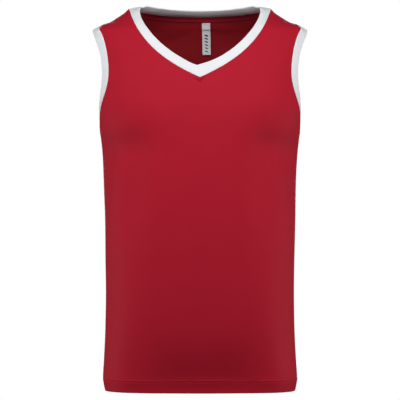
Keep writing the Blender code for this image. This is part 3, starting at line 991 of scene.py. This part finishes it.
def make_allowances(materials):
    """Overlocked seam allowances inside: sides, shoulders, armholes and front neck."""
    pieces = []
    for hand in (LEFT, RIGHT):
        mirror = (hand, 1, 1)
        height = np.linspace(HEM_HEIGHT + HEM_TURN_UP + 0.002, ARMHOLES["seam"][1] - 0.004, 500)
        side_seam = side_line(BACK, height)
        height = np.linspace(ARMHOLES["seam"][0] + 0.003, FRONT_NECK_SEAM[0][1] - 0.003, 200)
        shoulder = side_line(BACK, height)
        lines = (
            # side, line, way it lies, steps
            (BACK, side_seam, (0, 1, 0), 160),
            (BACK, shoulder, (0, 1, 0), 24),
            (FRONT, armhole_curve(FRONT, "seam")[60:-60], (0, -1, 0), 80),
            (BACK, armhole_curve(BACK, "seam")[60:-60], (0, 1, 0), 80),
            (FRONT, neck_curve(FRONT, "seam")[40:-60], (1, 0, -0.6), 90),
        )
        for side, line, toward, steps in lines:
            rows = allowance_rows(side, line, np.array(toward, float), steps) * mirror
            pieces.append(make_strip("seam_allowance", rows, ALLOWANCE_WALL, materials, inward=side))
    return join("seam_allowances", pieces)


def join(name, things):
    """One object from several."""
    with bpy.context.temp_override(active_object=things[0], selected_editable_objects=things):
        bpy.ops.object.join()
    things[0].name = name
    things[0].data.name = name
    return things[0]


# ---- materials


def new_material(name, colour, roughness):
    material = bpy.data.materials.new(name)
    material.use_nodes = True
    shader = material.node_tree.nodes["Principled BSDF"]
    shader.inputs["Base Color"].default_value = (*colour, 1)
    shader.inputs["Roughness"].default_value = roughness
    material.diffuse_color = (*colour, 1)
    return material, material.node_tree, shader


def node(tree, kind, **values):
    """A node with its named inputs set, and links made where a value is another node's output."""
    made = tree.nodes.new(kind)
    for key, value in values.items():
        if key.startswith("_"):
            setattr(made, key[1:], value)
            continue
        socket = made.inputs[int(key[2:])] if key.startswith("in") else made.inputs[key.replace("_", " ")]
        if isinstance(value, bpy.types.NodeSocket):
            tree.links.new(value, socket)
        else:
            socket.default_value = value
    return made


def math_node(tree, operation, *values):
    inputs = {f"in{i}": value for i, value in enumerate(values)}
    return node(tree, "ShaderNodeMath", _operation=operation, **inputs).outputs[0]


def cloth_coordinates(tree):
    """The cloth's own coordinates, in metres across and along it."""
    uv = node(tree, "ShaderNodeUVMap", _uv_map="cloth").outputs["UV"]
    parts = node(tree, "ShaderNodeSeparateXYZ", in0=uv).outputs
    return uv, parts[0], parts[1]


def knit_height(tree, across, along, wale, course):
    """Height of a plain knit: columns of slanted loops that meet in a V."""
    place = math_node(tree, "FRACT", math_node(tree, "DIVIDE", across, wale))
    leg = math_node(tree, "ABSOLUTE", math_node(tree, "SUBTRACT", place, 0.5))
    slant = math_node(tree, "MULTIPLY", leg, 1.1)
    row = math_node(tree, "ADD", math_node(tree, "DIVIDE", along, course), slant)
    wave = math_node(tree, "SINE", math_node(tree, "MULTIPLY", row, 2 * math.pi))
    column = math_node(tree, "SINE", math_node(tree, "MULTIPLY", leg, 2 * math.pi))
    high = math_node(tree, "MULTIPLY_ADD", wave, 0.35, 0.65)
    return math_node(tree, "MULTIPLY", high, math_node(tree, "MULTIPLY_ADD", column, 0.6, 0.4))


def tinted(tree, colour, dark, factor):
    """A colour between a dark one and a full one."""
    mix = node(tree, "ShaderNodeMix", _data_type="RGBA", in0=factor, in6=(*dark, 1), in7=(*colour, 1))
    return mix.outputs[2]


def finish(tree, shader, colour, roughness, height, bump):
    """Links a material's colour, roughness and relief; bump is its strength and depth."""
    tree.links.new(colour, shader.inputs["Base Color"])
    tree.links.new(roughness, shader.inputs["Roughness"])
    relief = node(tree, "ShaderNodeBump", Strength=bump[0], Distance=bump[1], Height=height)
    tree.links.new(relief.outputs["Normal"], shader.inputs["Normal"])


def noise(tree, uv, scale, detail=2.0):
    """Soft noise from 0 to 1."""
    return node(tree, "ShaderNodeTexNoise", Vector=uv, Scale=scale, Detail=detail).outputs["Fac"]


def even_ridges(tree, value, pitch):
    """Even ridges from 0 to 1 across a value, one in each pitch."""
    wave = math_node(tree, "SINE", math_node(tree, "MULTIPLY", value, 2 * math.pi / pitch))
    return math_node(tree, "MULTIPLY_ADD", wave, 0.5, 0.5)


def knit_material(name, colour, dark, roughness, sheen, sheen_tint, wale=0.0012, course=0.0010):
    """Fine knit with slight unevenness of colour, loops and nap; the hollows between the loops are painted
    darker as shade.
    """
    material, tree, shader = new_material(name, colour, roughness)
    uv, across, along = cloth_coordinates(tree)
    height = knit_height(tree, across, along, wale, course)
    cloudy = noise(tree, uv, 22.0, 3.0)
    fibre = noise(tree, uv, 2600.0)
    # The colour mixes random tone (cloudy, fibre) with painted shade: the low parts of the loops are tinted
    # towards the dark colour.
    mixed = math_node(tree, "MULTIPLY_ADD", height, 0.30, 0.38)
    mixed = math_node(tree, "MULTIPLY_ADD", cloudy, 0.28, mixed)
    mixed = math_node(tree, "MULTIPLY_ADD", fibre, 0.16, mixed)
    rough = math_node(tree, "MULTIPLY_ADD", cloudy, 0.10, roughness - 0.05)
    rough = math_node(tree, "MULTIPLY_ADD", height, -0.05, rough)
    bumpy = math_node(tree, "MULTIPLY_ADD", fibre, 0.25, height)
    finish(tree, shader, tinted(tree, colour, dark, mixed), rough, bumpy, (0.35, 0.00022))
    shader.inputs["Specular IOR Level"].default_value = 0.05
    shader.inputs["Sheen Weight"].default_value = sheen
    shader.inputs["Sheen Roughness"].default_value = 0.40
    shader.inputs["Sheen Tint"].default_value = (*sheen_tint, 1)
    return material


def woven_material(name, colour, dark, pitch):
    """Satin-woven label: fine threads both ways."""
    material, tree, shader = new_material(name, colour, 0.45)
    uv, across, along = cloth_coordinates(tree)
    warp = math_node(tree, "SINE", math_node(tree, "MULTIPLY", across, 2 * math.pi / pitch))
    weft = math_node(tree, "SINE", math_node(tree, "MULTIPLY", along, 2 * math.pi / pitch))
    height = math_node(tree, "MULTIPLY_ADD", math_node(tree, "MULTIPLY", warp, weft), 0.5, 0.5)
    cloudy = noise(tree, uv, 120.0)
    # The hollows between the threads are tinted darker: painted shade, with random tone from cloudy.
    factor = math_node(tree, "MULTIPLY_ADD", height, 0.5, math_node(tree, "MULTIPLY", cloudy, 0.6))
    rough = math_node(tree, "MULTIPLY_ADD", height, -0.08, 0.5)
    finish(tree, shader, tinted(tree, colour, dark, factor), rough, height, (0.3, 0.0001))
    shader.inputs["Sheen Weight"].default_value = 0.1
    return material


def thread_material(name, colour, dark, pitch=0.0007):
    """Twisted sewing thread."""
    material, tree, shader = new_material(name, colour, 0.55)
    uv, across, along = cloth_coordinates(tree)
    height = even_ridges(tree, math_node(tree, "ADD", along, across), pitch)
    rough = math_node(tree, "MULTIPLY_ADD", height, -0.1, 0.6)
    # The grooves of the twist are tinted towards the dark colour: painted shade.
    finish(tree, shader, tinted(tree, colour, dark, height), rough, height, (0.4, 0.0001))
    shader.inputs["Specular IOR Level"].default_value = 0.3
    return material


def overlock_material(name, colour, dark, pitch=0.0021):
    """Edge wrapped in overlock threads, seen as close slanted bars."""
    material, tree, shader = new_material(name, colour, 0.7)
    uv, across, along = cloth_coordinates(tree)
    height = even_ridges(tree, math_node(tree, "MULTIPLY_ADD", along, 0.35, across), pitch)
    fibre = noise(tree, uv, 2200.0)
    # The grooves between the bars are tinted darker: painted shade, with some random tone from fibre.
    mixed = math_node(tree, "MULTIPLY_ADD", fibre, 0.3, math_node(tree, "MULTIPLY", height, 0.7))
    rough = math_node(tree, "MULTIPLY_ADD", height, -0.1, 0.78)
    finish(tree, shader, tinted(tree, colour, dark, mixed), rough, mixed, (0.6, 0.0003))
    shader.inputs["Specular IOR Level"].default_value = 0.2
    return material


RED = (0.500, 0.0134, 0.0326)
RED_DARK = (0.410, 0.0102, 0.0232)
# The inside of the jersey is the same red knit as the outside, painted darker as the shade inside it; the
# seam allowances inside use it too.
INSIDE_SHADED_RED = (0.290, 0.0110, 0.0175)
INSIDE_SHADED_DARK = (0.215, 0.0088, 0.0133)
WHITE = (0.90, 0.915, 0.94)
WHITE_DARK = (0.82, 0.835, 0.86)
LABEL = (0.88, 0.87, 0.90)
LABEL_DARK = (0.76, 0.74, 0.79)
TAPE_RED = (0.36, 0.013, 0.03)
TAPE_DARK = (0.27, 0.01, 0.022)
MOTIF_INK = (0.012, 0.011, 0.013)
MOTIF_DARK = (0.006, 0.006, 0.007)


# ---- stage, camera and lights

FLOOR_GLOW = 0.5
FLOOR_HEIGHT = -1.42
FLOOR_RADIUS = 8.0


def make_floor():
    """Plain pale floor, as far below the hem as a wearer's legs; it glows softly, but not on the cloth."""
    place = (0, 0, FLOOR_HEIGHT)
    bpy.ops.mesh.primitive_circle_add(vertices=96, radius=FLOOR_RADIUS, fill_type="NGON", location=place)
    floor = bpy.context.object
    floor.name = "floor"
    material, tree, shader = new_material("pale_floor", (0.86, 0.86, 0.86), 0.8)
    grain = node(tree, "ShaderNodeTexNoise", Scale=3.0, Detail=2.0).outputs["Fac"]
    colour = tinted(tree, (0.88, 0.88, 0.88), (0.84, 0.84, 0.84), grain)
    tree.links.new(colour, shader.inputs["Base Color"])
    shader.inputs["Emission Color"].default_value = (1, 1, 1, 1)
    shader.inputs["Emission Strength"].default_value = FLOOR_GLOW
    floor.data.materials.append(material)
    floor.visible_diffuse = False
    floor.visible_glossy = False


CAMERA_DISTANCE = 5.5
CAMERA_HEIGHT = -0.3473
FRAME_WIDTH = 0.7632


def make_camera():
    """Level camera in front of the jersey, as high as its middle."""
    data = bpy.data.cameras.new("camera")
    data.sensor_width = 36
    data.lens = data.sensor_width * CAMERA_DISTANCE / FRAME_WIDTH
    camera = add_thing("camera", data)
    camera.location = (0, -CAMERA_DISTANCE, CAMERA_HEIGHT)
    camera.rotation_euler = (RIGHT_ANGLE, 0, 0)
    bpy.context.scene.camera = camera


LIGHTS = (
    # name, place, aim, size, watts
    ("key", (0.0, -1.0, 0.38), (0, -0.1, -0.15), (2.8, 0.4), 16.5),
    ("low_fill", (0.0, -1.4, -1.35), (0, 0, -0.55), (2.4, 1.6), 3.9),
    ("back_fill", (0.0, 2.2, 0.2), (0, 0, -0.35), (1.6, 1.2), 26),
    ("side_fill_left", (1.3, 0.15, -0.62), (0, 0, -0.55), (0.5, 0.6), 4.9),
    ("side_fill_right", (-1.3, 0.15, -0.62), (0, 0, -0.55), (0.5, 0.6), 4.9),
    ("shoulder_fill_left", (0.9, -0.5, 0.35), (0.15, -0.05, -0.12), (0.3, 0.3), 0.6),
    ("shoulder_fill_right", (-0.9, -0.5, 0.35), (-0.15, -0.05, -0.12), (0.3, 0.3), 0.6),
)


def make_light(name, place, aim, size, power):
    """Soft light that isn't seen itself."""
    data = bpy.data.lights.new(name, "AREA")
    data.shape = "RECTANGLE"
    data.size, data.size_y = size
    data.energy = power
    light = add_thing(name, data)
    light.location = place
    light.rotation_euler = (Vector(aim) - Vector(place)).to_track_quat("-Z", "Y").to_euler()
    light.visible_camera = False


WORLD_LIGHT = 0.10


def make_world():
    """White surround; its light on the jersey is softer than it looks."""
    world = bpy.data.worlds.new("studio")
    bpy.context.scene.world = world
    world.use_nodes = True
    tree = world.node_tree
    background = tree.nodes["Background"]
    background.inputs["Color"].default_value = (1, 1, 1, 1)
    seen = node(tree, "ShaderNodeLightPath").outputs["Is Camera Ray"]
    strength = math_node(tree, "MULTIPLY_ADD", seen, 1.0 - WORLD_LIGHT, WORLD_LIGHT)
    tree.links.new(strength, background.inputs["Strength"])


def main():
    scene = bpy.context.scene
    scene.view_settings.view_transform = "Standard"
    outside = knit_material("red_knit", RED, RED_DARK, 0.60, 0.01, (1.0, 0.35, 0.45))
    # The inner faces are a darker copy of the red knit: its reverse is rougher, and its darker colour is
    # painted shade.
    inside = knit_material("red_knit_reverse_shaded", INSIDE_SHADED_RED, INSIDE_SHADED_DARK, 0.75, 0.02, (1.0, 0.4, 0.5))
    rib = knit_material("white_rib", WHITE, WHITE_DARK, 0.8, 0.1, (1, 1, 1), wale=0.0014)
    tape = knit_material("tape_knit", TAPE_RED, TAPE_DARK, 0.7, 0.05, (1, 0.6, 0.65))
    woven = woven_material("label_weave", LABEL, LABEL_DARK, 0.0005)

    front = make_panel("front_cloth", FRONT, [outside, inside])
    back = make_panel("back_cloth", BACK, [outside, inside])
    neck_band = make_neck_band([rib])
    left_band = make_armhole_band("armhole_band_left_cloth", LEFT, [rib])
    right_band = make_armhole_band("armhole_band_right_cloth", RIGHT, [rib])
    neck_tape = make_neck_tape([tape])
    main_label = make_label("main_label_cloth", MAIN_LABEL_SIZE, MAIN_LABEL_HANG, MAIN_LABEL_STEPS, [woven])
    size_label = make_label("size_label_cloth", SIZE_LABEL_SIZE, SIZE_LABEL_HANG, SIZE_LABEL_STEPS, [woven])
    red_thread = thread_material("red_thread", RED, RED_DARK)
    dark_thread = thread_material("motif_thread", MOTIF_INK, MOTIF_DARK)
    overlock = overlock_material("red_overlock", INSIDE_SHADED_RED, INSIDE_SHADED_DARK)
    hem_stitches = make_hem_stitches([red_thread])
    cover_threads = make_cover_threads([red_thread])
    tape_stitches = make_tape_stitches([red_thread])
    motif = make_motif([dark_thread])
    allowances = make_allowances([overlock])
    pieces = (
        # piece, kind of cloth, node it stands for
        (front, "body_knit", "front_panel"),
        (back, "body_knit", "back_panel"),
        (neck_band, "band_rib", "neck_band"),
        (left_band, "band_rib", "armhole_band_left"),
        (right_band, "band_rib", "armhole_band_right"),
        (neck_tape, "neck_tape", "neck_tape"),
        (main_label, "label", "main_label"),
        (size_label, "label", "size_label"),
        (hem_stitches, "body_knit", None),
        (cover_threads, "body_knit", None),
        (allowances, "body_knit", None),
        (tape_stitches, "neck_tape", None),
        (motif, "label", None),
    )
    for piece, slot, cad_node in pieces:
        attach(piece, "root")
        if cad_node:
            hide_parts(cad_node)

    make_floor()
    make_camera()
    make_world()
    for light in LIGHTS:
        make_light(*light)


main()
